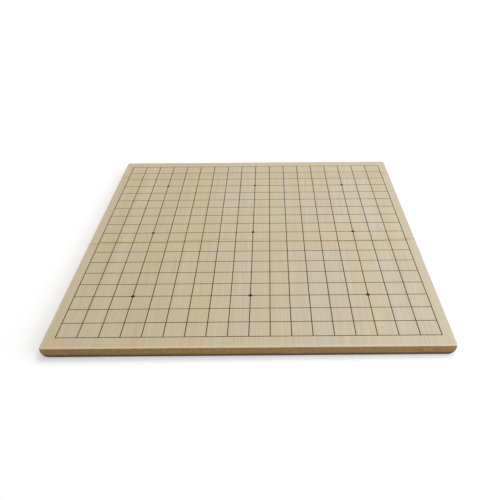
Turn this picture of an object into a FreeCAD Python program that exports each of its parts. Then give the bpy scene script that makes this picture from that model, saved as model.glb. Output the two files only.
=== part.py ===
import FreeCAD, Part
import os
import Sketcher

# Weiqi board, 19 by 19 lines, of laminated bamboo.
#
# Two plies of flat bamboo strips lie one on the other, all with the grain
# running from the near edge to the far edge. The face ply shows the playing
# surface. The back ply is laid half a strip over, so that no glue line runs
# through the board. The long side edges are rounded under, so that fingers
# can lift the board off a table.
#
# The grid is one lattice of dark lacquer that fills engraved grooves. The
# nine star points are lacquer discs in shallow drilled seats.
#
# Frame: origin on the table under the board's centre, +X to the right,
# +Y away from the player, +Z up. Millimetres.

LINES = 19
CELLS = LINES - 1
FACE_STRIPS = 21
STAR_LINES = (4, 10, 16)

SIZE_TABLE = (
    ("cell_width", 22.0, "pitch of the lines across the board"),
    ("cell_depth", 23.7, "pitch of the lines away from the player"),
    ("side_margin", 12.0, "outer line to the left or right edge"),
    ("end_margin", 17.2, "outer line to the near or far edge"),
    ("face_ply", 6.0, "thickness of a face strip"),
    ("back_ply", 6.0, "thickness of a back strip"),
    ("side_land", 2.0, "upright part of a side edge above its round"),
    ("end_round", 2.5, "radius along the lower edge of both ends"),
    ("top_arris", 0.6, "radius that eases the rim of the playing surface"),
    ("line_width", 1.0, "width of a grid line"),
    ("line_depth", 0.3, "depth of an engraved groove"),
    ("star_diameter", 4.6, "diameter of a star point"),
    ("star_depth", 0.5, "depth of a star point's seat"),
    ("overrun", 1.0, "how far a cutting shape passes a surface"),
)

doc = FreeCAD.newDocument("weiqi_board")
sheet = doc.addObject("Spreadsheet::Sheet", "Sizes")


def fill_sheet():
    """Write each driving size and its meaning into the sheet."""
    for row, (alias, value, meaning) in enumerate(SIZE_TABLE, start=1):
        sheet.set(f"A{row}", meaning)
        sheet.set(f"B{row}", str(value))
        sheet.setAlias(f"B{row}", alias)
    doc.recompute()


fill_sheet()

# What follows from the driving sizes, as expressions.
CELL_WIDTH = "Sizes.cell_width"
CELL_DEPTH = "Sizes.cell_depth"
GRID_WIDTH = f"{CELLS} * {CELL_WIDTH}"
GRID_DEPTH = f"{CELLS} * {CELL_DEPTH}"
BOARD_WIDTH = f"({GRID_WIDTH} + 2 * Sizes.side_margin)"
BOARD_DEPTH = f"({GRID_DEPTH} + 2 * Sizes.end_margin)"
BOARD_HEIGHT = "(Sizes.face_ply + Sizes.back_ply)"
LINE_WIDTH = "Sizes.line_width"
STRIP_WIDTH = f"({BOARD_WIDTH} / {FACE_STRIPS})"
LEFT_EDGE = f"(-{BOARD_WIDTH} / 2)"
NEAR_EDGE = f"(-{BOARD_DEPTH} / 2)"
LEFT_LINE = f"(-{GRID_WIDTH} / 2)"
NEAR_LINE = f"(-{GRID_DEPTH} / 2)"


def value_of(alias):
    """Return the present value of a driving size."""
    return float(sheet.get(alias))


def bind(item, **expressions):
    """Bind properties of a document object to expressions."""
    for name, expression in expressions.items():
        item.setExpression(name.replace("__", "."), expression)


def place(item, left, near, low="0"):
    """Bind the place of a box's low corner or of a cylinder's low centre."""
    bind(item, Placement__Base__x=left, Placement__Base__y=near, Placement__Base__z=low)


def box(name, width, depth, height):
    """Add a box with the given extents along X, Y and Z."""
    item = doc.addObject("Part::Box", name)
    bind(item, Length=width, Width=depth, Height=height)
    return item


def board_blank():
    """Return the outer form of the glued and shaped board, as a body.

    The cross-section is drawn across the board, with the round under each
    side edge, and padded from the near edge to the far edge. The ends are
    then rounded along the bottom and up the sides, and the rim is eased.
    """
    height = value_of("face_ply") + value_of("back_ply")
    width = CELLS * value_of("cell_width") + 2 * value_of("side_margin")
    depth = CELLS * value_of("cell_depth") + 2 * value_of("end_margin")
    radius = height - value_of("side_land")
    half = width / 2
    flat = half - radius
    lowest_right = FreeCAD.Vector(flat, 0, 0)
    lowest_left = FreeCAD.Vector(-flat, 0, 0)
    land_right = FreeCAD.Vector(half, radius, 0)
    land_left = FreeCAD.Vector(-half, radius, 0)
    rim_right = FreeCAD.Vector(half, height, 0)
    rim_left = FreeCAD.Vector(-half, height, 0)
    quarter = radius * FreeCAD.Vector(1, -1, 0).normalize()
    turn_right = FreeCAD.Vector(flat, radius, 0) + quarter
    turn_left = FreeCAD.Vector(-turn_right.x, turn_right.y, 0)

    body = doc.addObject("PartDesign::Body", "Blank")
    sketch = body.newObject("Sketcher::SketchObject", "BlankSection")
    origin_planes = [item for item in body.Origin.OriginFeatures if item.Role == "XZ_Plane"]
    sketch.AttachmentSupport = [(origin_planes[0], "")]
    sketch.MapMode = "FlatFace"
    bottom = sketch.addGeometry(Part.LineSegment(lowest_left, lowest_right), False)
    round_right = sketch.addGeometry(Part.Arc(lowest_right, turn_right, land_right), False)
    side_right = sketch.addGeometry(Part.LineSegment(land_right, rim_right), False)
    top = sketch.addGeometry(Part.LineSegment(rim_right, rim_left), False)
    side_left = sketch.addGeometry(Part.LineSegment(rim_left, land_left), False)
    round_left = sketch.addGeometry(Part.Arc(land_left, turn_left, lowest_left), False)
    start, end, axis_x, axis_y = 1, 2, -1, -2
    for first, second in (
        (bottom, round_right),
        (round_right, side_right),
        (side_left, round_left),
        (round_left, bottom),
    ):
        sketch.addConstraint(Sketcher.Constraint("Tangent", first, end, second, start))
    sketch.addConstraint(Sketcher.Constraint("Coincident", side_right, end, top, start))
    sketch.addConstraint(Sketcher.Constraint("Coincident", top, end, side_left, start))
    sketch.addConstraint(Sketcher.Constraint("Horizontal", bottom))
    sketch.addConstraint(Sketcher.Constraint("Vertical", side_right))
    sketch.addConstraint(Sketcher.Constraint("Vertical", side_left))
    sketch.addConstraint(Sketcher.Constraint("Symmetric", top, start, top, end, axis_y))
    sketch.addConstraint(Sketcher.Constraint("PointOnObject", bottom, start, axis_x))
    sketch.addConstraint(Sketcher.Constraint("Equal", side_left, side_right))
    sized = (
        ("width", Sketcher.Constraint("DistanceX", top, end, top, start, width), BOARD_WIDTH),
        ("height", Sketcher.Constraint("DistanceY", bottom, end, top, start, height), BOARD_HEIGHT),
        (
            "land",
            Sketcher.Constraint("DistanceY", side_right, start, side_right, end, height - radius),
            "Sizes.side_land",
        ),
    )
    for name, constraint, expression in sized:
        index = sketch.addConstraint(constraint)
        sketch.renameConstraint(index, name)
        sketch.setExpression(f"Constraints.{name}", expression)

    pad = body.newObject("PartDesign::Pad", "BlankPad")
    pad.Profile = sketch
    pad.SideType = "Symmetric"
    bind(pad, Length=BOARD_DEPTH)
    doc.recompute()

    ends = body.newObject("PartDesign::Fillet", "EndRounds")
    ends.Base = (pad, end_edges(pad.Shape, depth / 2, height))
    bind(ends, Radius="Sizes.end_round")
    doc.recompute()

    rim = body.newObject("PartDesign::Fillet", "RimArris")
    rim.Base = (ends, rim_edges(ends.Shape, height))
    bind(rim, Radius="Sizes.top_arris")
    doc.recompute()
    return body


def end_edges(shape, half_depth, height):
    """Name the edges round both ends, apart from those of the top face."""
    near = value_of("top_arris") / 2
    names = []
    for number, edge in enumerate(shape.Edges, start=1):
        limits = edge.BoundBox
        at_end = limits.YLength < near and abs(abs(limits.YMin) - half_depth) < near
        on_top = limits.ZMin > height - near
        if at_end and not on_top:
            names.append(f"Edge{number}")
    return names


def rim_edges(shape, height):
    """Name the edges of the top face."""
    near = value_of("top_arris") / 2
    return [
        f"Edge{number}"
        for number, edge in enumerate(shape.Edges, start=1)
        if edge.BoundBox.ZMin > height - near
    ]


def line_bars():
    """Return the long bars and the cross bars that engrave the grid.

    Each group is a compound, and its bars pass above the surface.
    """
    depth = "(Sizes.line_depth + Sizes.overrun)"
    low = f"{BOARD_HEIGHT} - Sizes.line_depth"
    long_bars = []
    cross_bars = []
    for index in range(LINES):
        bar = box(f"LongBar{index + 1:02d}", LINE_WIDTH, f"{GRID_DEPTH} + {LINE_WIDTH}", depth)
        left = f"{LEFT_LINE} + {index} * {CELL_WIDTH} - {LINE_WIDTH} / 2"
        place(bar, left, f"{NEAR_LINE} - {LINE_WIDTH} / 2", low)
        long_bars.append(bar)
        bar = box(f"CrossBar{index + 1:02d}", f"{GRID_WIDTH} + {LINE_WIDTH}", LINE_WIDTH, depth)
        near = f"{NEAR_LINE} + {index} * {CELL_DEPTH} - {LINE_WIDTH} / 2"
        place(bar, f"{LEFT_LINE} - {LINE_WIDTH} / 2", near, low)
        cross_bars.append(bar)
    return group("LongBars", long_bars), group("CrossBars", cross_bars)


def star_plugs():
    """Return the plugs that drill the star points, as one compound."""
    plugs = []
    for row in STAR_LINES:
        for column in STAR_LINES:
            plug = doc.addObject("Part::Cylinder", f"StarPlug_{column}_{row}")
            bind(plug, Radius="Sizes.star_diameter / 2", Height="Sizes.star_depth + Sizes.overrun")
            left = f"{LEFT_LINE} + {column - 1} * {CELL_WIDTH}"
            near = f"{NEAR_LINE} + {row - 1} * {CELL_DEPTH}"
            place(plug, left, near, f"{BOARD_HEIGHT} - Sizes.star_depth")
            plugs.append(plug)
    return group("StarPlugs", plugs)


def group(name, pieces):
    """Return several separate shapes as one compound."""
    compound = doc.addObject("Part::Compound", name)
    compound.Links = pieces
    return compound


def combine(kind, name, base, tool):
    """Return a cut or a common of two objects."""
    result = doc.addObject(kind, name)
    result.Label = name
    result.Base = base
    result.Tool = tool
    return result


def rectangle(left, near, right, far, level):
    """Return a closed level outline between two opposite corners."""
    corners = ((left, near), (right, near), (right, far), (left, far), (left, near))
    return Part.makePolygon([FreeCAD.Vector(x, y, level) for x, y in corners])


def grid_line_inlay(plugs):
    """Return the lacquer lattice that fills the grooves, as one solid.

    A face with a window for each cell is thickened to the depth of a
    groove, and the star points are drilled out of it.
    """
    cell_width = value_of("cell_width")
    cell_depth = value_of("cell_depth")
    half_line = value_of("line_width") / 2
    depth = value_of("line_depth")
    level = value_of("face_ply") + value_of("back_ply") - depth
    left = -CELLS * cell_width / 2
    near = -CELLS * cell_depth / 2
    outline = rectangle(
        left - half_line, near - half_line, half_line - left, half_line - near, level
    )
    windows = [
        rectangle(
            left + column * cell_width + half_line,
            near + row * cell_depth + half_line,
            left + (column + 1) * cell_width - half_line,
            near + (row + 1) * cell_depth - half_line,
            level,
        )
        for row in range(CELLS)
        for column in range(CELLS)
    ]
    lattice = Part.makeFace([outline] + windows, "Part::FaceMakerBullseye")
    inlay = doc.addObject("Part::Feature", "grid_line_inlay")
    inlay.Shape = lattice.extrude(FreeCAD.Vector(0, 0, depth)).cut(plugs.Shape)
    return inlay


def face_strips(blank, engraving):
    """Return the strips of the face ply, from left to right."""
    strips = []
    for index in range(FACE_STRIPS):
        number = f"{index + 1:02d}"
        plank = box(f"FacePlank{number}", STRIP_WIDTH, BOARD_DEPTH, "Sizes.face_ply")
        place(plank, f"{LEFT_EDGE} + {index} * {STRIP_WIDTH}", NEAR_EDGE, "Sizes.back_ply")
        strip = combine("Part::Common", f"FaceShaped{number}", plank, blank)
        for tool in engraving:
            strip = combine("Part::Cut", f"Face{number}Less{tool.Name}", strip, tool)
        strip.Label = f"face_strip_{number}"
        strips.append(strip)
    return strips


def back_strips(blank):
    """Return the strips of the back ply, half a strip over from the face.

    The first and the last are half as wide as the others.
    """
    strips = []
    for index in range(FACE_STRIPS + 1):
        at_edge = index in (0, FACE_STRIPS)
        width = f"{STRIP_WIDTH} / 2" if at_edge else STRIP_WIDTH
        left = f"{LEFT_EDGE} + ({index} - 1 / 2) * {STRIP_WIDTH}" if index else LEFT_EDGE
        plank = box(f"BackPlank{index + 1:02d}", width, BOARD_DEPTH, "Sizes.back_ply")
        place(plank, left, NEAR_EDGE)
        strips.append(combine("Part::Common", f"back_strip_{index + 1:02d}", plank, blank))
    return strips


def check(pieces):
    """Stop when an object failed or a piece has no sound solid."""
    for item in doc.Objects:
        if "Invalid" in item.State or "Error" in item.State:
            raise RuntimeError(f"{item.Label} failed: {item.State}")
    for piece in pieces:
        shape = piece.Shape
        if shape.isNull() or not shape.isValid() or not shape.Solids:
            raise RuntimeError(f"{piece.Label} has no valid solid")


def main():
    """Build the board and write one file for each piece."""
    blank = board_blank()
    long_bars, cross_bars = line_bars()
    plugs = star_plugs()
    doc.recompute()
    pieces = [grid_line_inlay(plugs)]
    pieces.append(combine("Part::Common", "star_point_inlay", plugs, blank))
    pieces += face_strips(blank, (cross_bars, long_bars, plugs))
    pieces += back_strips(blank)
    doc.recompute()
    check(pieces)
    os.makedirs("parts", exist_ok=True)
    for piece in pieces:
        piece.Shape.exportStep(os.path.join("parts", f"{piece.Label}.step"))
        print(f"{piece.Label}: {len(piece.Shape.Solids)} solid, {piece.Shape.Volume:.1f} mm3")


main()
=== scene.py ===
import logging
import math
import random
from dataclasses import dataclass
from enum import Enum
from typing import Callable, Iterable, Sequence, Union

import bmesh
import bpy
from mathutils import Matrix, Vector


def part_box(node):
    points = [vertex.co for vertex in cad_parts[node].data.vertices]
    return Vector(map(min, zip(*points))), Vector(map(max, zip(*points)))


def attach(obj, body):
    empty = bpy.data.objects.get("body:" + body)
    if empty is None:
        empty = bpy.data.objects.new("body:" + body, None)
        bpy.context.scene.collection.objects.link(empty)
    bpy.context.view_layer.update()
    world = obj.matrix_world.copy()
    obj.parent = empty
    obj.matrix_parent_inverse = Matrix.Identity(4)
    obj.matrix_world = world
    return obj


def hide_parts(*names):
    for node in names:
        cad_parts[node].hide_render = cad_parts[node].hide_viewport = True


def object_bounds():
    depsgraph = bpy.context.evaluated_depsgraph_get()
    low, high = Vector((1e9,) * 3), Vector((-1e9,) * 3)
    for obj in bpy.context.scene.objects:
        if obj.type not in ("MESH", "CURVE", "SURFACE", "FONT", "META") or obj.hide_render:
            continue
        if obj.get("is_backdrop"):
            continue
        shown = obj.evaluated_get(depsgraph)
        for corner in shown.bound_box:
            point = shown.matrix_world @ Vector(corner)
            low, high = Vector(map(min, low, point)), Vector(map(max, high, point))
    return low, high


# Looks of a weiqi board of laminated bamboo. Every strip of the two plies is a
# piece of its own, cut from one smooth form of the board. The printed lattice
# keeps the solid of the frame, and the star points are drops of lacquer.
# Metres, +Z up, +Y away from the player, origin on the table.

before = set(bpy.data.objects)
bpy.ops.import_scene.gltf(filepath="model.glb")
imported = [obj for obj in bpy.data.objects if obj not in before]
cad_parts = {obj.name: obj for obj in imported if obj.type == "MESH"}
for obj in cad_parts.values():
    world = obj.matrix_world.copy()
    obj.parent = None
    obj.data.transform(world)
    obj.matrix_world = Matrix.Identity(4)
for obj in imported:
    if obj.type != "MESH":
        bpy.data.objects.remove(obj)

LOG = logging.getLogger("weiqi_board")
Colour = tuple[float, float, float]
Input = Union[float, "bpy.types.NodeSocket"]

MM = 0.001
BODY = "root"
QUARTER = math.pi / 2
FILM = 0.02 * MM
MERGE = 0.001 * MM
SLACK = 0.01 * MM
SHARP = math.radians(40)


class Ply(Enum):
    """The two layers of strips, by the start of their nodes' names."""

    FACE = "face_strip"
    BACK = "back_strip"


class Trait(Enum):
    """What each point of a strip knows about its place in the board."""

    TONE = "strip_tone"
    WARMTH = "strip_warmth"
    SEED = "strip_seed"
    ACROSS = "strip_across"
    SKIN = "strip_skin"
    NEAR_NODE = "near_node"
    FAR_NODE = "far_node"
    NODE_MARK = "node_mark"


class Sketch:
    """Adds nodes to a shader tree and links them."""

    def __init__(self, tree: bpy.types.NodeTree) -> None:
        """Start drawing in a tree.

        Args:
            tree: The node tree of a material or of a group.
        """
        self.tree = tree
        self.count = 0

    def add(self, kind: str, **settings: object) -> bpy.types.Node:
        """Add a node and set its properties.

        Args:
            kind: The node's type name.
            settings: Properties of the node and their values.

        Returns:
            The new node.
        """
        node = self.tree.nodes.new(kind)
        columns, spacing = 12, 220
        node.location = (spacing * (self.count % columns), -spacing * (self.count // columns))
        self.count += 1
        for name, value in settings.items():
            setattr(node, name, value)
        return node

    def feed(self, socket: bpy.types.NodeSocket, value: object) -> None:
        """Link a socket's source to it, or set its plain value.

        Args:
            socket: The input that is fed.
            value: Another node's output, or a plain value.
        """
        if isinstance(value, bpy.types.NodeSocket):
            self.tree.links.new(value, socket)
        else:
            socket.default_value = value

    def math(self, operation: str, *values: Input, clamp: bool = False) -> bpy.types.NodeSocket:
        """Return the result of a math node.

        Args:
            operation: The operation's name.
            values: Its one, two or three operands.
            clamp: Whether the result is kept from 0 to 1.
        """
        node = self.add("ShaderNodeMath", operation=operation, use_clamp=clamp)
        for socket, value in zip(node.inputs, values):
            self.feed(socket, value)
        return node.outputs[0]

    def times(self, first: Input, second: Input) -> bpy.types.NodeSocket:
        """Return the product of two values."""
        return self.math("MULTIPLY", first, second)

    def step(self, value: Input, start: Input, full: Input) -> bpy.types.NodeSocket:
        """Return a smooth step of a value from 0 at start to 1 at full."""
        node = self.add("ShaderNodeMapRange", interpolation_type="SMOOTHSTEP")
        self.feed(node.inputs["Value"], value)
        self.feed(node.inputs["From Min"], start)
        self.feed(node.inputs["From Max"], full)
        return node.outputs["Result"]

    def span(self, value: Input, low: Input, high: Input) -> bpy.types.NodeSocket:
        """Return a value from 0 to 1 spread from low to high."""
        node = self.add("ShaderNodeMapRange")
        self.feed(node.inputs["Value"], value)
        self.feed(node.inputs["To Min"], low)
        self.feed(node.inputs["To Max"], high)
        return node.outputs["Result"]

    def blend(self, share: Input, first: object, second: object) -> bpy.types.NodeSocket:
        """Return a colour mixed from two by a share of the second.

        Args:
            share: How much of the second colour shows.
            first: A colour or a colour output.
            second: A colour or a colour output.
        """
        node = self.add("ShaderNodeMix", data_type="RGBA")
        self.feed(node.inputs[0], share)
        for socket, value in ((node.inputs[6], first), (node.inputs[7], second)):
            self.feed(socket, (*value, 1.0) if isinstance(value, tuple) else value)
        return node.outputs[2]

    def cover(self, below: object, colour: Colour, mask: Input, share: float) -> bpy.types.NodeSocket:
        """Return a colour that another one covers where a mask says.

        Args:
            below: The colour or colour output that is covered.
            colour: The colour that covers it.
            mask: Where it does, from 0 to 1.
            share: How much of it shows where the mask is 1.
        """
        return self.blend(self.times(mask, share), below, colour)

    def scale_colour(self, colour: bpy.types.NodeSocket, factor: Input) -> bpy.types.NodeSocket:
        """Return a colour made lighter or darker by a factor."""
        node = self.add("ShaderNodeVectorMath", operation="SCALE")
        self.feed(node.inputs[0], colour)
        self.feed(node.inputs["Scale"], factor)
        return node.outputs[0]

    def vector(self, x: Input, y: Input, z: Input) -> bpy.types.NodeSocket:
        """Return a vector of three values."""
        node = self.add("ShaderNodeCombineXYZ")
        for socket, value in zip(node.inputs, (x, y, z)):
            self.feed(socket, value)
        return node.outputs[0]

    def place(self) -> list[bpy.types.NodeSocket]:
        """Return X, Y and Z of the point on the object, in metres."""
        split = self.add("ShaderNodeSeparateXYZ")
        self.feed(split.inputs[0], self.add("ShaderNodeTexCoord").outputs["Object"])
        return list(split.outputs)

    def drawn_out(self, x: Input, y: Input, z: Input, share: Input) -> bpy.types.NodeSocket:
        """Return a place where Y counts by a share, which draws noises out along the fibres."""
        return self.vector(x, self.times(y, share), z)

    def noise(
        self, vector: Input, scale: float, detail: float = 2.0, rough: float = 0.5
    ) -> bpy.types.NodeSocket:
        """Return a noise from 0 to 1 over a vector.

        Args:
            vector: The place that is looked up.
            scale: How many waves fit in a metre, roughly.
            detail: How many finer noises are laid over it.
            rough: How strong each finer one is.
        """
        node = self.add("ShaderNodeTexNoise")
        self.feed(node.inputs["Vector"], vector)
        node.inputs["Scale"].default_value = scale
        node.inputs["Detail"].default_value = detail
        node.inputs["Roughness"].default_value = rough
        return node.outputs[0]

    def sway(self, noise: bpy.types.NodeSocket, reach: Input) -> bpy.types.NodeSocket:
        """Return a noise made into a shift to both sides, half a reach each way."""
        return self.times(self.math("SUBTRACT", noise, 0.5), reach)

    def cells(self, vector: Input, scale: float) -> bpy.types.NodeSocket:
        """Return the distance from the middle of irregular cells."""
        node = self.add("ShaderNodeTexVoronoi", feature="F1")
        self.feed(node.inputs["Vector"], vector)
        node.inputs["Scale"].default_value = scale
        return node.outputs["Distance"]

    def bump(self, height: Input, strength: float, depth: float) -> bpy.types.NodeSocket:
        """Return the normals of a relief.

        Args:
            height: The relief, from 0 to 1.
            strength: How strongly it shows.
            depth: How deep it is, in metres.
        """
        node = self.add("ShaderNodeBump")
        node.inputs["Strength"].default_value = strength
        node.inputs["Distance"].default_value = depth
        self.feed(node.inputs["Height"], height)
        return node.outputs["Normal"]

    def trait(self, which: Trait) -> bpy.types.NodeSocket:
        """Return what the point knows about its strip."""
        node = self.add("ShaderNodeAttribute", attribute_name=which.value)
        return node.outputs["Fac"]


class Effect:
    """A shader group with named inputs and outputs, built once."""

    def __init__(
        self,
        name: str,
        inputs: Sequence[tuple[str, float]],
        outputs: Sequence[str],
        draw: Callable[[Sketch, bpy.types.Node, bpy.types.Node], None],
    ) -> None:
        """Build the group's tree.

        Args:
            name: The group's name.
            inputs: Each input's name and usual value.
            outputs: The names of the values that it puts out.
            draw: Draws the nodes between the group's input and output.
        """
        self.tree = bpy.data.node_groups.new(name, "ShaderNodeTree")
        for label, usual in inputs:
            socket = self.tree.interface.new_socket(label, in_out="INPUT", socket_type="NodeSocketFloat")
            socket.default_value = usual
        for label in outputs:
            self.tree.interface.new_socket(label, in_out="OUTPUT", socket_type="NodeSocketFloat")
        sketch = Sketch(self.tree)
        draw(sketch, sketch.add("NodeGroupInput"), sketch.add("NodeGroupOutput"))

    def use(self, sketch: Sketch, **values: Input) -> dict[str, bpy.types.NodeSocket]:
        """Place the group in a material.

        Args:
            sketch: The material's tree.
            values: The group's inputs, with an underscore for each space.

        Returns:
            The group's outputs by name.
        """
        node = sketch.add("ShaderNodeGroup", node_tree=self.tree)
        for name, value in values.items():
            sketch.feed(node.inputs[name.replace("_", " ")], value)
        return {socket.name: socket for socket in node.outputs}


def draw_fibre(sketch: Sketch, given: bpy.types.Node, result: bpy.types.Node) -> None:
    """Draw bamboo's fibres, which run along Y and show as dots on a cut end.

    Args:
        sketch: The group's tree.
        given: The group's input node.
        result: The group's output node.
    """
    x, y, z = sketch.place()
    seed = given.outputs["Seed"]
    seed_lift, edge = 3.7, 0.12
    drift = sketch.noise(sketch.drawn_out(seed, y, 0.0, share=0.35), scale=16.0, detail=1.0)
    drift = sketch.sway(drift, given.outputs["Wander"])
    bent = sketch.noise(sketch.vector(sketch.math("ADD", x, seed), y, z), scale=220.0, detail=1.0)
    bent = sketch.sway(bent, given.outputs["Swirl"])
    across = sketch.math("ADD", sketch.math("ADD", x, sketch.math("ADD", drift, bent)), seed)
    high = sketch.math("ADD", z, sketch.times(seed, seed_lift))
    vector = sketch.drawn_out(across, y, high, share=given.outputs["Stretch"])
    wide = sketch.noise(vector, scale=85.0, detail=1.0)
    broad = sketch.noise(vector, scale=330.0, rough=0.55)
    fine = sketch.noise(vector, scale=1500.0, detail=3.0, rough=0.6)
    bundle = sketch.cells(vector, scale=1150.0)
    density = given.outputs["Density"]
    bundle = sketch.step(bundle, sketch.math("ADD", density, edge), sketch.math("SUBTRACT", density, edge))
    sketch.feed(result.inputs["Wide"], sketch.step(wide, start=0.3, full=0.7))
    sketch.feed(result.inputs["Broad"], sketch.step(broad, start=0.3, full=0.7))
    sketch.feed(result.inputs["Fine"], sketch.step(fine, start=0.25, full=0.75))
    sketch.feed(result.inputs["Bundle"], bundle)


def draw_node_band(sketch: Sketch, given: bpy.types.Node, result: bpy.types.Node) -> None:
    """Draw one bamboo node across a strip: a scar in a warm, mottled zone.

    Args:
        sketch: The group's tree.
        given: The group's input node.
        result: The group's output node.
    """
    x, y, z = sketch.place()
    core_share, core_full = 0.3, 0.3
    moved = sketch.math("ADD", x, given.outputs["Seed"])
    ragged = sketch.noise(sketch.drawn_out(moved, y, z, share=0.2), scale=700.0)
    bow = sketch.times(sketch.math("POWER", given.outputs["Across"], 2.0), given.outputs["Bow"])
    beyond = sketch.math("SUBTRACT", sketch.math("SUBTRACT", y, given.outputs["Place"]), bow)
    beyond = sketch.math("SUBTRACT", beyond, sketch.sway(ragged, given.outputs["Ragged"]))
    zone = sketch.times(
        sketch.step(beyond, given.outputs["Zone Beyond"], 0.0),
        sketch.step(sketch.times(beyond, -1.0), given.outputs["Zone Before"], 0.0),
    )
    mottle = sketch.noise(sketch.drawn_out(moved, y, z, share=0.5), scale=750.0, detail=3.0, rough=0.65)
    mottle = sketch.span(sketch.step(mottle, start=0.3, full=0.7), low=0.1, high=1.4)
    sketch.feed(result.inputs["Zone"], sketch.times(zone, mottle))
    reach = given.outputs["Scar Reach"]
    broken = sketch.noise(sketch.vector(moved, 0.0, z), scale=160.0)
    frayed = sketch.noise(sketch.drawn_out(moved, y, z, share=0.1), scale=2600.0)
    off = sketch.math("ABSOLUTE", sketch.math("ADD", beyond, sketch.sway(frayed, reach)))
    halo = sketch.step(off, reach, 0.0)
    core_reach = sketch.times(reach, core_share)
    core = sketch.step(off, core_reach, sketch.times(core_reach, core_full))
    core = sketch.times(core, given.outputs["Core"])
    scar = sketch.times(sketch.math("MAXIMUM", core, halo), sketch.step(broken, start=0.2, full=0.6))
    sketch.feed(result.inputs["Scar"], scar)


def draw_glue_line(sketch: Sketch, given: bpy.types.Node, result: bpy.types.Node) -> None:
    """Draw the dark hairline along a strip's glued sides and between the plies.

    Args:
        sketch: The group's tree.
        given: The group's input node.
        result: The group's output node.
    """
    height = sketch.place()[2]
    off = sketch.math("SUBTRACT", 1.0, sketch.math("ABSOLUTE", given.outputs["Across"]))
    side = sketch.step(off, given.outputs["Side Reach"], 0.0)
    rise = sketch.math("ABSOLUTE", sketch.math("SUBTRACT", height, given.outputs["Joint"]))
    between = sketch.step(rise, given.outputs["Joint Reach"], 0.0)
    sketch.feed(result.inputs["Line"], sketch.math("MAXIMUM", side, between))


def draw_handling(sketch: Sketch, given: bpy.types.Node, result: bpy.types.Node) -> None:
    """Draw a painted highlight along the upper rim, painted shade along the bottom edges, and smudges.

    Args:
        sketch: The group's tree.
        given: The group's input node.
        result: The group's output node.
    """
    x, y, z = sketch.place()
    shade_full_share = 0.6
    # Rim: a painted highlight along the upper edges, fainter along the long sides.
    side = sketch.math("SUBTRACT", given.outputs["Half Width"], sketch.math("ABSOLUTE", x))
    end = sketch.math("SUBTRACT", given.outputs["Half Depth"], sketch.math("ABSOLUTE", y))
    away = sketch.math("MINIMUM", side, end)
    under = sketch.math("SUBTRACT", given.outputs["Height"], z)
    squares = sketch.math("ADD", sketch.times(away, away), sketch.times(under, under))
    patchy = sketch.noise(sketch.vector(x, y, z), scale=60.0, detail=3.0, rough=0.6)
    reach = sketch.times(given.outputs["Reach"], sketch.span(patchy, low=0.5, high=1.5))
    rim = sketch.step(sketch.math("SQRT", squares), reach, 0.0)
    near_an_end = sketch.step(end, start=7.0 * MM, full=3.0 * MM)
    share = sketch.span(near_an_end, given.outputs["Side Share"], 1.0)
    sketch.feed(result.inputs["Rim"], sketch.times(rim, share))
    # Painted shade along the bottom edges, darkest at the table and fading out upward by the reach.
    shade_top = sketch.times(given.outputs["Shade Reach"], sketch.span(patchy, low=0.8, high=1.2))
    low = sketch.step(z, shade_top, sketch.times(shade_top, shade_full_share))
    beside = sketch.step(away, start=7.0 * MM, full=4.0 * MM)
    sketch.feed(result.inputs["Foot Shade"], sketch.times(low, beside))
    smudge = sketch.noise(sketch.drawn_out(x, y, z, share=0.5), scale=38.0, detail=3.0, rough=0.6)
    sketch.feed(result.inputs["Smudge"], sketch.step(smudge, start=0.42, full=0.75))


def draw_print(sketch: Sketch, given: bpy.types.Node, result: bpy.types.Node) -> None:
    """Draw how thickly lacquer covers the fibres below it.

    Args:
        sketch: The group's tree.
        given: The group's input node.
        result: The group's output node.
    """
    x, y, z = sketch.place()
    half, worn_through = 0.5, 0.85
    grain = sketch.noise(sketch.drawn_out(x, y, z, share=0.15), scale=2400.0, rough=0.6)
    worn = sketch.noise(sketch.vector(x, y, z), scale=38.0)
    total = sketch.math("ADD", sketch.times(grain, half), sketch.times(worn, half))
    sketch.feed(result.inputs["Thin"], sketch.step(total, given.outputs["Cover"], worn_through))
    sketch.feed(result.inputs["Grain"], grain)


@dataclass(frozen=True)
class Effects:
    """The shader groups that the finishes share."""

    fibre: Effect
    node_band: Effect
    glue_line: Effect
    handling: Effect
    print_cover: Effect

    @classmethod
    def build(cls) -> "Effects":
        """Return the groups, each built once."""
        return cls(
            fibre=Effect(
                "bamboo_fibre",
                (("Seed", 0.0), ("Stretch", 0.012), ("Wander", 0.8 * MM), ("Density", 0.3), ("Swirl", 0.0)),
                ("Wide", "Broad", "Fine", "Bundle"),
                draw_fibre,
            ),
            node_band=Effect(
                "bamboo_node",
                (
                    ("Place", 0.0),
                    ("Across", 0.0),
                    ("Seed", 0.0),
                    ("Bow", 0.5 * MM),
                    ("Ragged", 1.0 * MM),
                    ("Zone Beyond", 21.0 * MM),
                    ("Zone Before", 21.0 * MM),
                    ("Scar Reach", 2.4 * MM),
                    ("Core", 1.0),
                ),
                ("Zone", "Scar"),
                draw_node_band,
            ),
            glue_line=Effect(
                "glue_line",
                (("Across", 0.0), ("Side Reach", 0.016), ("Joint", 6.0 * MM), ("Joint Reach", 0.3 * MM)),
                ("Line",),
                draw_glue_line,
            ),
            # Painted highlight along the upper rim, painted shade along the bottom edges, and smudges.
            handling=Effect(
                "handling",
                (
                    ("Half Width", 0.2),
                    ("Half Depth", 0.2),
                    ("Height", 0.01),
                    ("Reach", 5.0 * MM),
                    ("Shade Reach", 4.8 * MM),
                    ("Side Share", 0.4),
                ),
                ("Rim", "Foot Shade", "Smudge"),
                draw_handling,
            ),
            print_cover=Effect("print_cover", (("Cover", 0.55),), ("Thin", "Grain"), draw_print),
        )


@dataclass(frozen=True)
class NodeLook:
    """How strongly and how widely one row of bamboo nodes shows."""

    place: Trait
    zone: float
    scar: float
    reach: float = 2.4 * MM
    core: float = 1.0


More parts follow.
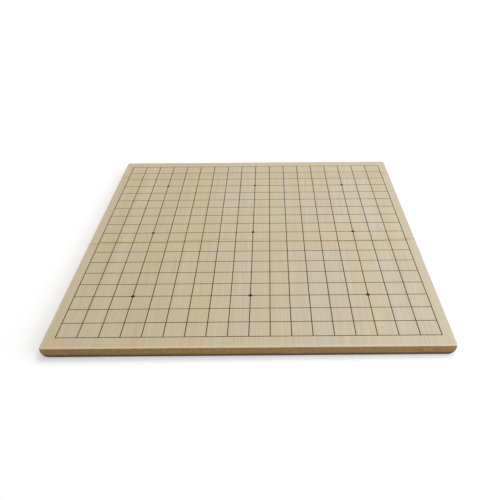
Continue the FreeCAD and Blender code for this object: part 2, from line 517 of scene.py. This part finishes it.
@dataclass(frozen=True)
class Layers:
    """How strongly each layer of a bamboo finish covers the colour below it."""

    straw_by_fibre: float = 0.7
    straw_by_strip: float = 0.5
    straw_least: float = 0.1
    warm_streaks: float = 0.6
    bundles: float = 0.32
    fine_fibres: float = 0.18
    smudges: float = 0.5
    glue: float = 0.22
    end_bundles: float = 0.5
    end_glue: float = 0.5
    # How strongly the painted highlight along the upper rim shows.
    rim_highlight_strength: float = 0.9
    # How strongly the painted shade along the bottom edges shows.
    edge_shade_strength: float = 0.95


@dataclass(frozen=True)
class BambooFinish:
    """Oiled and sanded bamboo, pale along the grain and brown on its cut ends."""

    name: str
    slot: str
    pale: Colour
    warm: Colour
    straw: Colour
    fibre: Colour
    node_zone: Colour
    node_scar: Colour
    end_pale: Colour
    end_dark: Colour
    # The colour of the painted highlight along the upper rim.
    rim: Colour
    # The colour of the painted shade along the bottom edges.
    foot_shade: Colour
    nodes: tuple[NodeLook, NodeLook]
    tone_spread: float
    layers: Layers = Layers()
    sparse: float = 0.22
    dense: float = 0.36
    swirl: float = 2.5 * MM
    roughness: float = 0.5
    fibre_roughness: float = 0.12
    end_roughness: float = 0.15
    specular: float = 0.35
    relief: float = 0.6
    relief_depth: float = 0.02 * MM

    def material(self, effects: Effects, form: "BoardForm") -> bpy.types.Material:
        """Return the finish as a material.

        Args:
            effects: The shared shader groups.
            form: The board's outer form.
        """
        material = bpy.data.materials.new(self.name)
        material.use_nodes = True
        shader = material.node_tree.nodes["Principled BSDF"]
        sketch = Sketch(material.node_tree)
        seed = sketch.trait(Trait.SEED)
        across = sketch.trait(Trait.ACROSS)
        mark = sketch.trait(Trait.NODE_MARK)
        bands = [
            effects.node_band.use(
                sketch,
                Place=sketch.trait(look.place),
                Across=across,
                Seed=seed,
                Scar_Reach=look.reach,
                Core=look.core,
            )
            for look in self.nodes
        ]
        near_a_node = sketch.math("MAXIMUM", bands[0]["Zone"], bands[1]["Zone"])
        fibre = effects.fibre.use(
            sketch,
            Seed=seed,
            Density=sketch.span(sketch.trait(Trait.SKIN), self.sparse, self.dense),
            Swirl=sketch.times(near_a_node, self.swirl),
        )
        glue = effects.glue_line.use(sketch, Across=across, Joint=form.joint)["Line"]
        # The upper rim's painted highlight, the painted shade along the bottom edges, and smudges.
        worn = effects.handling.use(
            sketch, Half_Width=form.half_width, Half_Depth=form.half_depth, Height=form.height
        )

        layers = self.layers
        strip_tint = sketch.times(sketch.trait(Trait.WARMTH), layers.straw_by_strip)
        tint = sketch.math("MULTIPLY_ADD", fibre["Wide"], layers.straw_by_fibre, strip_tint)
        tint = sketch.math("SUBTRACT", tint, layers.straw_least, clamp=True)
        wood = sketch.blend(tint, self.pale, self.straw)
        wood = sketch.cover(wood, self.warm, fibre["Broad"], layers.warm_streaks)
        wood = sketch.cover(wood, self.fibre, fibre["Bundle"], layers.bundles)
        wood = sketch.cover(wood, self.fibre, fibre["Fine"], layers.fine_fibres)
        wood = sketch.cover(wood, self.warm, worn["Smudge"], layers.smudges)
        for look, band in zip(self.nodes, bands):
            wood = sketch.cover(wood, self.node_zone, band["Zone"], look.zone)
            wood = sketch.cover(wood, self.node_scar, sketch.times(band["Scar"], mark), look.scar)
        wood = sketch.cover(wood, self.fibre, glue, layers.glue)

        end = sketch.blend(fibre["Broad"], self.end_pale, self.end_dark)
        end = sketch.cover(end, self.end_dark, fibre["Bundle"], layers.end_bundles)
        end = sketch.cover(end, self.end_dark, glue, layers.end_glue)
        normal = sketch.add("ShaderNodeSeparateXYZ")
        sketch.feed(normal.inputs[0], sketch.add("ShaderNodeNewGeometry").outputs["Normal"])
        endways = sketch.math("ABSOLUTE", normal.outputs["Y"])
        facing = sketch.step(endways, start=0.45, full=0.8)
        colour = sketch.blend(facing, wood, end)
        tone = sketch.math("MULTIPLY_ADD", sketch.trait(Trait.TONE), self.tone_spread, 1.0)
        colour = sketch.scale_colour(colour, tone)
        # Painted highlight along the upper rim, kept off the end faces.
        off_the_end = sketch.step(endways, start=0.97, full=0.75)
        colour = sketch.cover(colour, self.rim, sketch.times(worn["Rim"], off_the_end), layers.rim_highlight_strength)
        # Painted shade along the bottom edges, where the board meets the table.
        colour = sketch.cover(colour, self.foot_shade, worn["Foot Shade"], layers.edge_shade_strength)
        sketch.feed(shader.inputs["Base Color"], colour)

        rough = sketch.math("MULTIPLY_ADD", fibre["Fine"], self.fibre_roughness, self.roughness)
        rough = sketch.math("MULTIPLY_ADD", facing, self.end_roughness, rough)
        sketch.feed(shader.inputs["Roughness"], rough)
        shader.inputs["Specular IOR Level"].default_value = self.specular

        fibre_height, ridge_height = 0.5, 0.8
        ridge = sketch.math("MAXIMUM", bands[0]["Scar"], bands[1]["Scar"])
        height = sketch.times(fibre["Bundle"], fibre_height)
        height = sketch.math("MULTIPLY_ADD", fibre["Fine"], fibre_height, height)
        height = sketch.math("ADD", height, sketch.times(ridge, ridge_height))
        height = sketch.math("SUBTRACT", height, glue)
        sketch.feed(shader.inputs["Normal"], sketch.bump(height, self.relief, self.relief_depth))
        return material


@dataclass(frozen=True)
class LacquerFinish:
    """Dark lacquer in the grooves of the grid and the star points."""

    name: str
    slot: str
    full: Colour
    thin: Colour
    cover: float
    roughness: float
    grain_roughness: float = 0.2
    specular: float = 0.06
    relief: float = 0.4
    relief_depth: float = 0.01 * MM

    def material(self, effects: Effects) -> bpy.types.Material:
        """Return the finish as a material.

        Args:
            effects: The shared shader groups.
        """
        material = bpy.data.materials.new(self.name)
        material.use_nodes = True
        shader = material.node_tree.nodes["Principled BSDF"]
        sketch = Sketch(material.node_tree)
        cover = effects.print_cover.use(sketch, Cover=self.cover)
        sketch.feed(shader.inputs["Base Color"], sketch.blend(cover["Thin"], self.full, self.thin))
        rough = sketch.math("MULTIPLY_ADD", cover["Grain"], self.grain_roughness, self.roughness)
        sketch.feed(shader.inputs["Roughness"], rough)
        shader.inputs["Specular IOR Level"].default_value = self.specular
        sketch.feed(shader.inputs["Normal"], sketch.bump(cover["Grain"], self.relief, self.relief_depth))
        return material


FACE_BAMBOO = BambooFinish(
    name="face_bamboo",
    slot="face_bamboo",
    pale=(0.591, 0.503, 0.401),
    straw=(0.580, 0.478, 0.299),
    warm=(0.540, 0.428, 0.273),
    fibre=(0.40, 0.305, 0.183),
    node_zone=(0.58, 0.435, 0.245),
    node_scar=(0.23, 0.115, 0.048),
    end_pale=(0.485, 0.306, 0.131),
    end_dark=(0.368, 0.215, 0.084),
    # Painted highlight along the upper rim.
    rim=(0.665, 0.515, 0.365),
    # Painted shade along the bottom edges.
    foot_shade=(0.10, 0.066, 0.045),
    nodes=(
        NodeLook(Trait.NEAR_NODE, zone=0.75, scar=0.5, reach=3.2 * MM),
        NodeLook(Trait.FAR_NODE, zone=0.7, scar=0.15, reach=11.0 * MM, core=0.0),
    ),
    tone_spread=0.022,
)
BACK_BAMBOO = BambooFinish(
    name="back_bamboo",
    slot="back_bamboo",
    pale=(0.61, 0.52, 0.36),
    warm=(0.53, 0.43, 0.28),
    straw=(0.58, 0.46, 0.27),
    fibre=(0.38, 0.28, 0.16),
    node_zone=(0.50, 0.36, 0.19),
    node_scar=(0.20, 0.11, 0.05),
    end_pale=(0.475, 0.29, 0.116),
    end_dark=(0.348, 0.195, 0.073),
    # Painted highlight along the upper rim.
    rim=(0.61, 0.50, 0.34),
    # Painted shade along the bottom edges.
    foot_shade=(0.10, 0.066, 0.045),
    nodes=(
        NodeLook(Trait.NEAR_NODE, zone=0.8, scar=0.7),
        NodeLook(Trait.FAR_NODE, zone=0.8, scar=0.5, reach=3.0 * MM),
    ),
    tone_spread=0.05,
)
LINE_LACQUER = LacquerFinish(
    name="line_lacquer",
    slot="line_lacquer",
    full=(0.058, 0.035, 0.015),
    thin=(0.14, 0.09, 0.042),
    cover=0.5,
    roughness=0.6,
)
STAR_LACQUER = LacquerFinish(
    name="star_lacquer",
    slot="star_lacquer",
    full=(0.026, 0.017, 0.009),
    thin=(0.052, 0.034, 0.018),
    cover=0.6,
    roughness=0.5,
)


@dataclass
class BoardForm:
    """The outer form of the glued board, from which the strips are cut.

    The plies meet at the height named joint.
    """

    low: Vector
    high: Vector
    joint: float
    side_land: float = 2.0 * MM
    end_round: float = 2.5 * MM
    arris: float = 0.6 * MM
    corner_steps: int = 6
    round_steps: int = 14
    arris_steps: int = 4
    least_step: float = 0.04 * MM

    @property
    def half_width(self) -> float:
        """Half the board's width."""
        return (self.high.x - self.low.x) / 2

    @property
    def half_depth(self) -> float:
        """Half the board's depth."""
        return (self.high.y - self.low.y) / 2

    @property
    def height(self) -> float:
        """The board's height, less the film that the lines stand proud."""
        return self.high.z - self.low.z - FILM

    @property
    def side_round(self) -> float:
        """The radius under each side edge."""
        return self.height - self.side_land

    def levels(self) -> list[float]:
        """Return the heights at which the form is drawn, from the table up."""
        heights = {0.0, self.side_round, self.end_round, self.height - self.arris}
        for radius in (self.side_round, self.end_round):
            for step in range(self.round_steps):
                heights.add(radius * (1 - math.cos(QUARTER * step / self.round_steps)))
        for step in range(1, self.arris_steps + 1):
            heights.add(self.height - self.arris * (1 - math.sin(QUARTER * step / self.arris_steps)))
        return thin_out(sorted(heights), self.least_step)

    def inset(self, radius: float, height: float) -> float:
        """Return how far a lower round of a radius draws in at a height."""
        if height >= radius:
            return 0.0
        return radius - math.sqrt(radius**2 - (radius - height) ** 2)

    def rim_inset(self, height: float) -> float:
        """Return how far the eased rim draws in at a height."""
        above = height - (self.height - self.arris)
        if above <= 0:
            return 0.0
        return self.arris - math.sqrt(max(self.arris**2 - above**2, 0.0))

    def outline(self, height: float) -> list[Vector]:
        """Return the board's outline at a height, with rounded corners.

        Args:
            height: The level at which the form is cut.
        """
        rim = self.rim_inset(height)
        half_width = self.half_width - self.inset(self.side_round, height) - rim
        half_depth = self.half_depth - self.inset(self.end_round, height) - rim
        radius = self.end_round - rim
        points = []
        for right, far, turn in ((1, 1, 0), (-1, 1, 1), (-1, -1, 2), (1, -1, 3)):
            centre = Vector((right * (half_width - radius), far * (half_depth - radius), height))
            for step in range(self.corner_steps + 1):
                angle = QUARTER * (turn + step / self.corner_steps)
                points.append(centre + radius * Vector((math.cos(angle), math.sin(angle), 0)))
        return points

    def blank(self) -> bmesh.types.BMesh:
        """Return the whole form as one closed mesh."""
        solid = bmesh.new()
        rings = [[solid.verts.new(point) for point in self.outline(level)] for level in self.levels()]
        for lower, upper in zip(rings, rings[1:]):
            for index, corner in enumerate(lower):
                following = (index + 1) % len(lower)
                solid.faces.new((corner, lower[following], upper[following], upper[index]))
        solid.faces.new(reversed(rings[0]))
        solid.faces.new(rings[-1])
        return solid

    def strip(self, low: Vector, high: Vector) -> bmesh.types.BMesh:
        """Return the part of the form between two corners, closed.

        Args:
            low: The strip's lowest corner.
            high: The strip's highest corner.
        """
        solid = self.blank()
        for outward in (Vector((1, 0, 0)), Vector((0, 0, 1))):
            if outward.dot(low - self.low) > SLACK:
                cut_off(solid, low, -outward)
            if outward.dot(self.high - high) > SLACK:
                cut_off(solid, high, outward)
        return solid


def thin_out(values: Sequence[float], least: float) -> list[float]:
    """Return sorted values with those too close to the one before left out.

    Args:
        values: The sorted values. The first and the last are kept.
        least: The least step between two values.
    """
    kept = [values[0]]
    for value in values[1:-1]:
        if value - kept[-1] >= least and values[-1] - value >= least:
            kept.append(value)
    return kept + [values[-1]]


def cut_off(solid: bmesh.types.BMesh, point: Vector, outward: Vector) -> None:
    """Cut away what lies beyond a plane and close the cut.

    Args:
        solid: The closed mesh that is cut.
        point: A point on the plane.
        outward: The side that goes.
    """
    geometry = [*solid.verts, *solid.edges, *solid.faces]
    done = bmesh.ops.bisect_plane(
        solid, geom=geometry, dist=MERGE, plane_co=point, plane_no=outward, clear_outer=True
    )
    rim = [item for item in done["geom_cut"] if isinstance(item, bmesh.types.BMEdge)]
    bmesh.ops.edgeloop_fill(solid, edges=rim)


def as_object(name: str, solid: bmesh.types.BMesh, material: bpy.types.Material) -> bpy.types.Object:
    """Return a mesh as an object with smooth rounds and flat flats.

    Args:
        name: The object's name.
        solid: The mesh, which is freed.
        material: Its finish.
    """
    bmesh.ops.recalc_face_normals(solid, faces=solid.faces)
    mesh = bpy.data.meshes.new(name)
    solid.to_mesh(mesh)
    solid.free()
    mesh.polygons.foreach_set("use_smooth", [True] * len(mesh.polygons))
    mesh.set_sharp_from_angle(angle=SHARP)
    mesh.materials.append(material)
    piece = bpy.data.objects.new(name, mesh)
    bpy.context.scene.collection.objects.link(piece)
    weighted = piece.modifiers.new("weighted_normals", "WEIGHTED_NORMAL")
    weighted.keep_sharp = True
    return piece


@dataclass
class StripPly:
    """One ply of bamboo strips that lie side by side.

    The two rows of nodes climb by node_climb from the left edge to the right one and swing about
    that slant. The strips at the left are warmer by warmer_left, and the scars in the middle of the
    board are fainter by faint_middle.
    """

    ply: Ply
    form: BoardForm
    finish: BambooFinish
    seed: int
    near_node: float
    far_node: float
    node_climb: float
    node_scatter: float
    node_swing: float = 0.0
    swing_length: float = 305.0 * MM
    swing_shift: float = 110.0 * MM
    warmer_left: float = 0.0
    faint_middle: float = 0.0
    faint_reach: float = 120.0 * MM
    tone_scatter: float = 0.6
    tone_limit: float = 1.5
    warmth_range: tuple[float, float] = (-0.1, 0.9)
    mark_range: tuple[float, float] = (0.5, 1.0)

    def build(self, effects: Effects) -> list[bpy.types.Object]:
        """Make every strip of the ply.

        Args:
            effects: The shared shader groups.

        Returns:
            The strips, from left to right.
        """
        chance = random.Random(self.seed)
        material = self.finish.material(effects, self.form)
        names = sorted(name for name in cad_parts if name.startswith(self.ply.value))
        return [self.strip(name, chance, material) for name in names]

    def strip(self, node: str, chance: random.Random, material: bpy.types.Material) -> bpy.types.Object:
        """Make one strip in place of its solid.

        Args:
            node: The strip's name in the frame.
            chance: The ply's random numbers.
            material: The ply's finish.
        """
        low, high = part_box(node)
        piece = as_object(node.replace("strip", "bamboo"), self.form.strip(low, high), material)
        self.note_traits(piece.data, low, high, chance)
        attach(piece, BODY)
        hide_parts(node)
        LOG.info("%s: %d faces", piece.name, len(piece.data.polygons))
        return piece

    def note_traits(self, mesh: bpy.types.Mesh, low: Vector, high: Vector, chance: random.Random) -> None:
        """Write onto each point what its finish needs to know.

        Args:
            mesh: The strip's mesh.
            low: The strip's lowest corner.
            high: The strip's highest corner.
            chance: The ply's random numbers.
        """
        middle = (low + high) / 2
        turn = 2 * math.pi * (middle.x + self.swing_shift) / self.swing_length
        part_way = middle.x / (2 * self.form.half_width)
        drift = self.node_climb * part_way + self.node_swing * math.sin(turn)
        warmer = self.warmer_left * (0.5 - part_way)
        faint = self.faint_middle * max(0.0, 1 - abs(middle.x) / self.faint_reach)
        coolest, warmest = self.warmth_range
        scatter = [chance.gauss(0, self.node_scatter) for _ in range(2)]
        steady = {
            Trait.TONE: max(-self.tone_limit, min(self.tone_limit, chance.gauss(0, self.tone_scatter))),
            Trait.WARMTH: chance.uniform(coolest, warmest - self.warmer_left / 2) + warmer,
            Trait.SEED: chance.uniform(0.0, 1.0),
            Trait.NODE_MARK: chance.uniform(*self.mark_range) * (1 - faint),
            Trait.NEAR_NODE: self.near_node + drift + scatter[0],
            Trait.FAR_NODE: self.far_node + drift + scatter[1],
        }
        skin_up = chance.random() < 0.5
        half = (high.x - low.x) / 2
        thick = high.z - low.z
        columns: dict[Trait, Iterable[float]] = {
            trait: [value] * len(mesh.vertices) for trait, value in steady.items()
        }
        columns[Trait.ACROSS] = [(point.co.x - middle.x) / half for point in mesh.vertices]
        rises = [(point.co.z - low.z) / thick for point in mesh.vertices]
        columns[Trait.SKIN] = [rise if skin_up else 1 - rise for rise in rises]
        for trait, values in columns.items():
            layer = mesh.attributes.new(trait.value, "FLOAT", "POINT")
            layer.data.foreach_set("value", list(values))


@dataclass
class PrintedGrid:
    """The lattice of thin lines, and the star points that lie on it."""

    star_radius: float = 2.3 * MM
    rim_ease: float = 6 * FILM
    drop_steps: int = 3
    turns: int = 40

    def build(self, effects: Effects) -> None:
        """Dress the lattice and make the star points.

        Args:
            effects: The shared shader groups.
        """
        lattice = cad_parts["grid_line_inlay"]
        lattice.data.materials.clear()
        lattice.data.materials.append(LINE_LACQUER.material(effects))
        LOG.info("%s: dressed in the frame's own solid", lattice.name)
        stars = as_object("star_points", self.drops(), STAR_LACQUER.material(effects))
        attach(stars, BODY)
        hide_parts("star_point_inlay")
        LOG.info("%s: %d faces", stars.name, len(stars.data.polygons))

    def drops(self) -> bmesh.types.BMesh:
        """Return the nine drops of lacquer as one mesh."""
        low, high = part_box("star_point_inlay")
        solid = bmesh.new()
        reach = Vector((high.x - low.x, high.y - low.y, 0)) / 2 - Vector((1, 1, 0)) * self.star_radius
        for row in (-1, 0, 1):
            for column in (-1, 0, 1):
                self.drop(solid, Vector((column * reach.x, row * reach.y, high.z)), high.z - low.z)
        return solid

    def drop(self, solid: bmesh.types.BMesh, top: Vector, depth: float) -> None:
        """Add one drop: an upright seat wall, an eased rim and a flat crown.

        Args:
            solid: The mesh that it joins.
            top: The middle of its crown.
            depth: How far it reaches down.
        """
        rings = [(self.star_radius, -depth), (self.star_radius, -FILM)]
        for step in range(1, self.drop_steps + 1):
            angle = QUARTER * step / self.drop_steps
            inset = self.rim_ease * (1 - math.cos(angle))
            rings.append((self.star_radius - inset, -FILM * (1 - math.sin(angle))))
        loops = []
        for radius, rise in rings:
            loop = []
            for step in range(self.turns):
                angle = 2 * math.pi * step / self.turns
                around = Vector((math.cos(angle), math.sin(angle), 0))
                loop.append(solid.verts.new(top + radius * around + Vector((0, 0, rise))))
            loops.append(loop)
        for lower, upper in zip(loops, loops[1:]):
            for index, corner in enumerate(lower):
                following = (index + 1) % self.turns
                solid.faces.new((corner, lower[following], upper[following], upper[index]))
        solid.faces.new(reversed(loops[0]))
        solid.faces.new(loops[-1])


@dataclass(frozen=True)
class Lamp:
    """A soft lamp that points at the middle of the board."""

    name: str
    place: tuple[float, float, float]
    size: float
    power: float
    colour: Colour = (1.0, 1.0, 1.0)

    def build(self) -> None:
        """Make the lamp."""
        light = bpy.data.lights.new(self.name, "AREA")
        light.shape = "DISK"
        light.size = self.size
        light.energy = self.power
        light.color = self.colour
        lamp = bpy.data.objects.new(self.name, light)
        lamp.location = self.place
        lamp.rotation_euler = (-Vector(self.place)).to_track_quat("-Z", "Y").to_euler()
        bpy.context.scene.collection.objects.link(lamp)


@dataclass
class Studio:
    """The pale floor, the soft light and the camera."""

    lamps: tuple[Lamp, ...] = (
        Lamp("key", (0.35, 0.75, 1.6), 1.4, 15.2, (1.0, 0.975, 0.92)),
        Lamp("fill", (1.4, -1.2, 0.7), 1.4, 17.0, (1.0, 0.94, 0.81)),
        Lamp("window", (1.0, -0.1, 0.4), 0.8, 6.2, (0.42, 0.7, 1.0)),
    )
    air: float = 0.42
    floor_half: float = 6.0
    floor_paint: float = 0.8
    floor_bounce: float = 0.15
    floor_lift: float = 0.3
    lift_grows: tuple[float, float] = (0.45, 1.1)
    eye: tuple[float, float, float] = (0.02347, -0.69314, 0.41129)
    pitch: float = 31.65
    roll: float = -0.47
    focal: float = 43.5
    sensor: float = 36.0
    shift: float = -0.0419

    def build(self) -> None:
        """Make the floor, the world, the lamps and the camera."""
        self.floor()
        self.world()
        for lamp in self.lamps:
            lamp.build()
        self.camera()
        bpy.context.scene.view_settings.view_transform = "Standard"

    def floor(self) -> None:
        """Make a pale floor that camera and reflections see as white."""
        mesh = bpy.data.meshes.new("floor")
        reach = self.floor_half
        corners = [(-reach, -reach, 0), (reach, -reach, 0), (reach, reach, 0), (-reach, reach, 0)]
        mesh.from_pydata(corners, [], [(0, 1, 2, 3)])
        material = bpy.data.materials.new("floor")
        material.use_nodes = True
        sketch = Sketch(material.node_tree)
        shader = material.node_tree.nodes["Principled BSDF"]
        seen = self.seen(sketch)
        paint = sketch.math("MULTIPLY_ADD", seen, self.floor_paint - self.floor_bounce, self.floor_bounce)
        sketch.feed(shader.inputs["Base Color"], sketch.vector(paint, paint, paint))
        shader.inputs["Roughness"].default_value = 0.9
        shader.inputs["Specular IOR Level"].default_value = 0.0
        shader.inputs["Emission Color"].default_value = (1.0, 1.0, 1.0, 1.0)
        x, y, z = sketch.place()
        away = sketch.add("ShaderNodeVectorMath", operation="LENGTH")
        sketch.feed(away.inputs[0], sketch.vector(x, y, z))
        far = sketch.step(away.outputs["Value"], *self.lift_grows)
        lift = sketch.math("MULTIPLY_ADD", far, 1.0 - self.floor_lift, self.floor_lift)
        sketch.feed(shader.inputs["Emission Strength"], sketch.times(seen, lift))
        mesh.materials.append(material)
        floor = bpy.data.objects.new("floor", mesh)
        bpy.context.scene.collection.objects.link(floor)
        floor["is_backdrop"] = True

    def seen(self, sketch: Sketch) -> bpy.types.NodeSocket:
        """Return 1 for rays from the camera, mirrors and glass, and else 0."""
        path = sketch.add("ShaderNodeLightPath")
        seen = sketch.math("MAXIMUM", path.outputs["Is Camera Ray"], path.outputs["Is Glossy Ray"])
        return sketch.math("MAXIMUM", seen, path.outputs["Is Transmission Ray"])

    def world(self) -> None:
        """Light the air evenly, and show it as white."""
        world = bpy.data.worlds.new("studio")
        world.use_nodes = True
        bpy.context.scene.world = world
        sketch = Sketch(world.node_tree)
        back = world.node_tree.nodes["Background"]
        back.inputs["Color"].default_value = (1.0, 1.0, 1.0, 1.0)
        strength = sketch.math("MULTIPLY_ADD", self.seen(sketch), 1.0 - self.air, self.air)
        sketch.feed(back.inputs["Strength"], strength)

    def camera(self) -> None:
        """Make the camera at the place and angle of the photograph."""
        data = bpy.data.cameras.new("camera")
        data.lens = self.focal
        data.sensor_width = self.sensor
        data.shift_x = self.shift
        camera = bpy.data.objects.new("camera", data)
        turn = Matrix.Rotation(math.radians(90 - self.pitch), 4, "X")
        camera.matrix_world = (
            Matrix.Translation(self.eye) @ turn @ Matrix.Rotation(math.radians(self.roll), 4, "Z")
        )
        bpy.context.scene.collection.objects.link(camera)
        bpy.context.scene.camera = camera


def main() -> None:
    """Build the board and its studio in order."""
    logging.basicConfig(level=logging.INFO, format="%(name)s: %(message)s")
    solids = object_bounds()
    effects = Effects.build()
    form = BoardForm(*solids, joint=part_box("back_strip_01")[1].z)
    plies = (
        StripPly(
            Ply.FACE,
            form,
            FACE_BAMBOO,
            seed=11,
            near_node=-22.0 * MM,
            far_node=179.5 * MM,
            node_climb=3.0 * MM,
            node_scatter=0.7 * MM,
            node_swing=3.7 * MM,
            warmer_left=1.0,
            faint_middle=0.55,
        ),
        StripPly(
            Ply.BACK,
            form,
            BACK_BAMBOO,
            seed=23,
            near_node=-120.0 * MM,
            far_node=96.0 * MM,
            node_climb=-4.0 * MM,
            node_scatter=3.0 * MM,
        ),
    )
    for ply in plies:
        strips = ply.build(effects)
        LOG.info("%s ply: %d strips", ply.ply.name.lower(), len(strips))
    PrintedGrid().build(effects)
    Studio().build()


if __name__ == "__main__":
    main()
